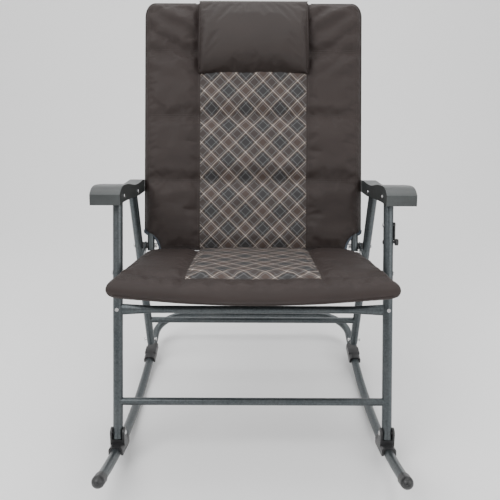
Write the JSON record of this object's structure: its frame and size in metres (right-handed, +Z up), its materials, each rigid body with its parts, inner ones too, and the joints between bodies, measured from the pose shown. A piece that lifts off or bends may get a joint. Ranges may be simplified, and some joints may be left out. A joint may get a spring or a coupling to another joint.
{
  "type": "folding camp rocking chair",
  "caption": "Folding rocking chair with a steel tube frame, bowed rocker base, moulded armrests, padded seat and back and a head pillow",
  "frame": {"origin": "on the floor, under the middle of the chair's box", "axes": "+X to the right as seen from the front of the chair facing it, +Y from the front of the chair to its back, +Z up"},
  "size_m": [0.7072, 0.8499, 1.0239],
  "materials": {
    "steel_tube": "charcoal hammered powder coat, semi-gloss",
    "black_plastic": "black moulded nylon, satin",
    "bright_steel": "zinc plated rivets and bolts",
    "arm_plastic": "dark grey moulded plastic, fine grain",
    "seat_fabric": "dark brown woven polyester with a quilted tartan centre",
    "pillow_fabric": "smooth dark brown woven polyester"
  },
  "bodies": {
    "rocker_base": {"rocker_tube": "steel_tube", "left_rocker_cap": "black_plastic", "right_rocker_cap": "black_plastic", "left_rear_saddle": "black_plastic", "right_rear_saddle": "black_plastic", "rear_saddle_bolts": "bright_steel"},
    "rear_frame": {"left_rear_leg": "steel_tube", "right_rear_leg": "steel_tube", "rear_leg_plugs": "black_plastic", "rear_crossbar": "steel_tube", "back_pivot_bolts": "bright_steel", "back_pivot_spacers": "black_plastic", "back_pivot_nuts": "bright_steel", "back_pivot_washers": "black_plastic"},
    "armrests": {"left_armrest": "arm_plastic", "right_armrest": "arm_plastic", "left_armrest_pins": "bright_steel", "right_armrest_pins": "bright_steel"},
    "front_frame": {"left_front_leg": "steel_tube", "right_front_leg": "steel_tube", "front_leg_plugs": "black_plastic", "upper_front_crossbar": "steel_tube", "lower_front_crossbar": "steel_tube", "crossbar_rivets": "bright_steel", "seat_pivot_bolts": "bright_steel", "fold_lock_rivet": "bright_steel", "lock_knob": "black_plastic"},
    "left_foot": {"left_front_saddle": "black_plastic", "left_front_saddle_bolt": "bright_steel"},
    "right_foot": {"right_front_saddle": "black_plastic", "right_front_saddle_bolt": "bright_steel"},
    "lock": {"fold_lock": "black_plastic"},
    "seat": {"left_seat_rail": "steel_tube", "right_seat_rail": "steel_tube", "seat_front_bar": "steel_tube", "seat_rear_bar": "steel_tube", "seat_pad": "seat_fabric", "left_seat_hanger": "steel_tube", "right_seat_hanger": "steel_tube", "seat_hanger_rivets": "bright_steel", "seat_rail_plugs": "black_plastic"},
    "back": {"back_tube": "steel_tube", "back_lower_bar": "steel_tube", "back_tube_plugs": "black_plastic", "back_pad": "seat_fabric"},
    "pillow": {"pillow_cushion": "pillow_fabric", "pillow_flap": "pillow_fabric"}
  },
  "joints": [
    {"name": "rocker_swing", "type": "hinge", "parent": "rocker_base", "child": "rear_frame", "pos_m": [0, 0.228, 0.07728], "axis": [-1, 0, 0], "range_deg": [0, 50]},
    {"name": "arm_fold", "type": "hinge", "parent": "rear_frame", "child": "armrests", "pos_m": [0, 0.089, 0.555], "axis": [-1, 0, 0], "range_deg": [0, 45]},
    {"name": "front_leg_fold", "type": "hinge", "parent": "armrests", "child": "front_frame", "pos_m": [0, -0.075, 0.58], "axis": [1, 0, 0], "range_deg": [0, 76.5]},
    {"name": "seat_fold", "type": "hinge", "parent": "rear_frame", "child": "seat", "pos_m": [0, 0.13454, 0.39849], "axis": [-1, 0, 0], "range_deg": [0, 65.5]},
    {"name": "back_fold", "type": "hinge", "parent": "rear_frame", "child": "back", "pos_m": [0, 0.13454, 0.39849], "axis": [1, 0, 0], "range_deg": [0, 20.5]},
    {"name": "left_foot_tilt", "type": "hinge", "parent": "front_frame", "child": "left_foot", "pos_m": [0, -0.228, 0.07235], "axis": [-1, 0, 0], "range_deg": [0, 20.5]},
    {"name": "right_foot_tilt", "type": "hinge", "parent": "front_frame", "child": "right_foot", "pos_m": [0, -0.228, 0.07235], "axis": [-1, 0, 0], "range_deg": [0, 20.5]},
    {"name": "lock_swing", "type": "hinge", "parent": "front_frame", "child": "lock", "pos_m": [0, -0.09318, 0.51968], "axis": [1, 0, 0], "range_deg": [0, 30]},
    {"name": "pillow_lift", "type": "slide", "parent": "back", "child": "pillow", "axis": [0, 0.309, 0.9511], "range_m": [0, 0.16]}
  ],
  "couplings": [
    {"joint": "front_leg_fold", "follows": "arm_fold", "ratio": 1.6889},
    {"joint": "seat_fold", "follows": "arm_fold", "ratio": 1.4444},
    {"joint": "left_foot_tilt", "follows": "arm_fold", "ratio": 0.44444},
    {"joint": "right_foot_tilt", "follows": "arm_fold", "ratio": 0.44444},
    {"joint": "back_fold", "follows": "arm_fold", "ratio": 0.44444}
  ]
}
